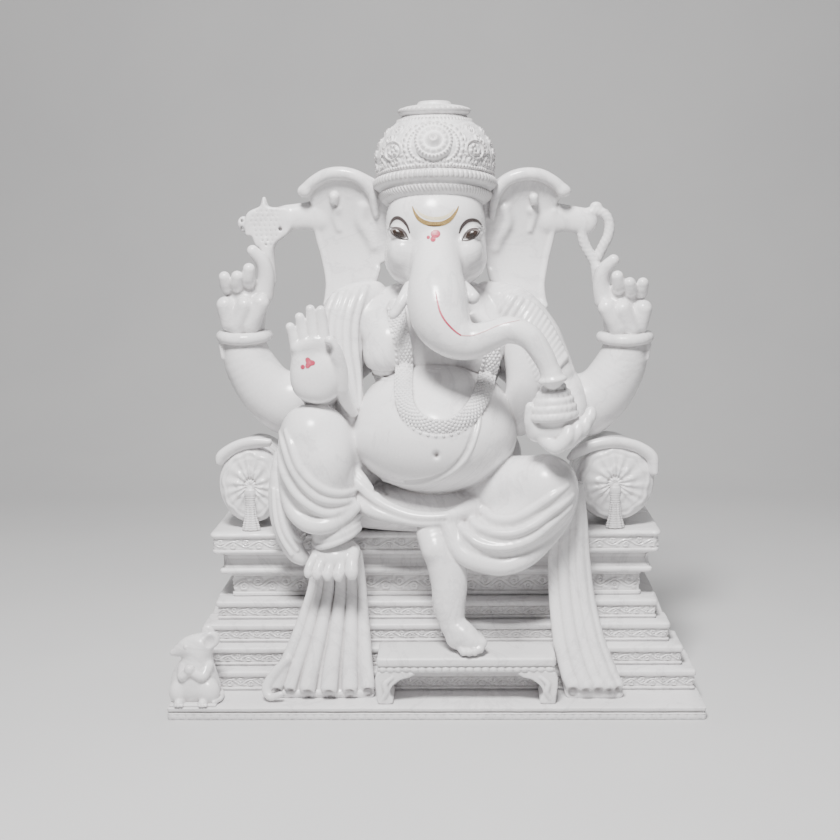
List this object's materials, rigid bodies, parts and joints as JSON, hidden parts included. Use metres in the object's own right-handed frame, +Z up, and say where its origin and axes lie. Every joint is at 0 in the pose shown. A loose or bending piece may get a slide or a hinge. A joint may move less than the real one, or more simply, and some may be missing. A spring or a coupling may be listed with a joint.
{
  "type": "ganesha idol",
  "caption": "Seated four-armed elephant-headed deity carved in white marble on a stepped throne with footstool, bolsters and a small mouse.",
  "frame": {"origin": "on the floor, under the middle of the plinth", "axes": "+Z up, the figure faces -Y, +X is to the viewer's right when facing the figure"},
  "size_m": [0.53, 0.22, 0.606],
  "materials": {
    "polished_marble": "polished white marble with a faint cool grey cast, glossy on the skin and cloth",
    "carved_marble": "the same white marble with fine carved relief, honed rather than polished"
  },
  "bodies": {
    "root": {"base_core": "carved_marble", "belly": "polished_marble", "bolster_left": "polished_marble", "bolster_right": "polished_marble", "chest": "polished_marble", "crown_band": "carved_marble", "crown_dome": "carved_marble", "crown_finial": "carved_marble", "crown_medallion": "carved_marble", "dhoti_fold": "polished_marble", "drape_left": "polished_marble", "drape_right": "polished_marble", "ear_left": "polished_marble", "ear_right": "polished_marble", "footstool_leg_left": "carved_marble", "footstool_leg_right": "carved_marble", "footstool_top": "polished_marble", "front_arm_left": "polished_marble", "front_arm_right": "polished_marble", "front_hand_left": "polished_marble", "front_hand_right": "polished_marble", "garland": "carved_marble", "goad_head": "carved_marble", "head": "polished_marble", "lap_cloth": "polished_marble", "left_foot": "polished_marble", "left_shin": "polished_marble", "left_thigh": "polished_marble", "modak_heap": "carved_marble", "mouse": "polished_marble", "noose": "carved_marble", "plinth": "carved_marble", "rear_arm_left": "polished_marble", "rear_arm_right": "polished_marble", "rear_bangle_left": "carved_marble", "rear_bangle_right": "carved_marble", "rear_hand_left": "polished_marble", "rear_hand_right": "polished_marble", "right_anklet": "carved_marble", "right_foot": "polished_marble", "right_leg": "polished_marble", "sacred_thread": "polished_marble", "seat_slab": "polished_marble", "shawl_left": "polished_marble", "shawl_right": "polished_marble", "step_1": "carved_marble", "step_2": "carved_marble", "step_3": "carved_marble", "step_4": "carved_marble", "strut_left": "polished_marble", "strut_right": "polished_marble", "tassel_left": "carved_marble", "tassel_right": "carved_marble", "throne_cornice": "carved_marble", "throne_neck": "carved_marble", "trunk": "polished_marble", "tusk_left": "polished_marble", "tusk_right": "polished_marble"}
  },
  "joints": []
}
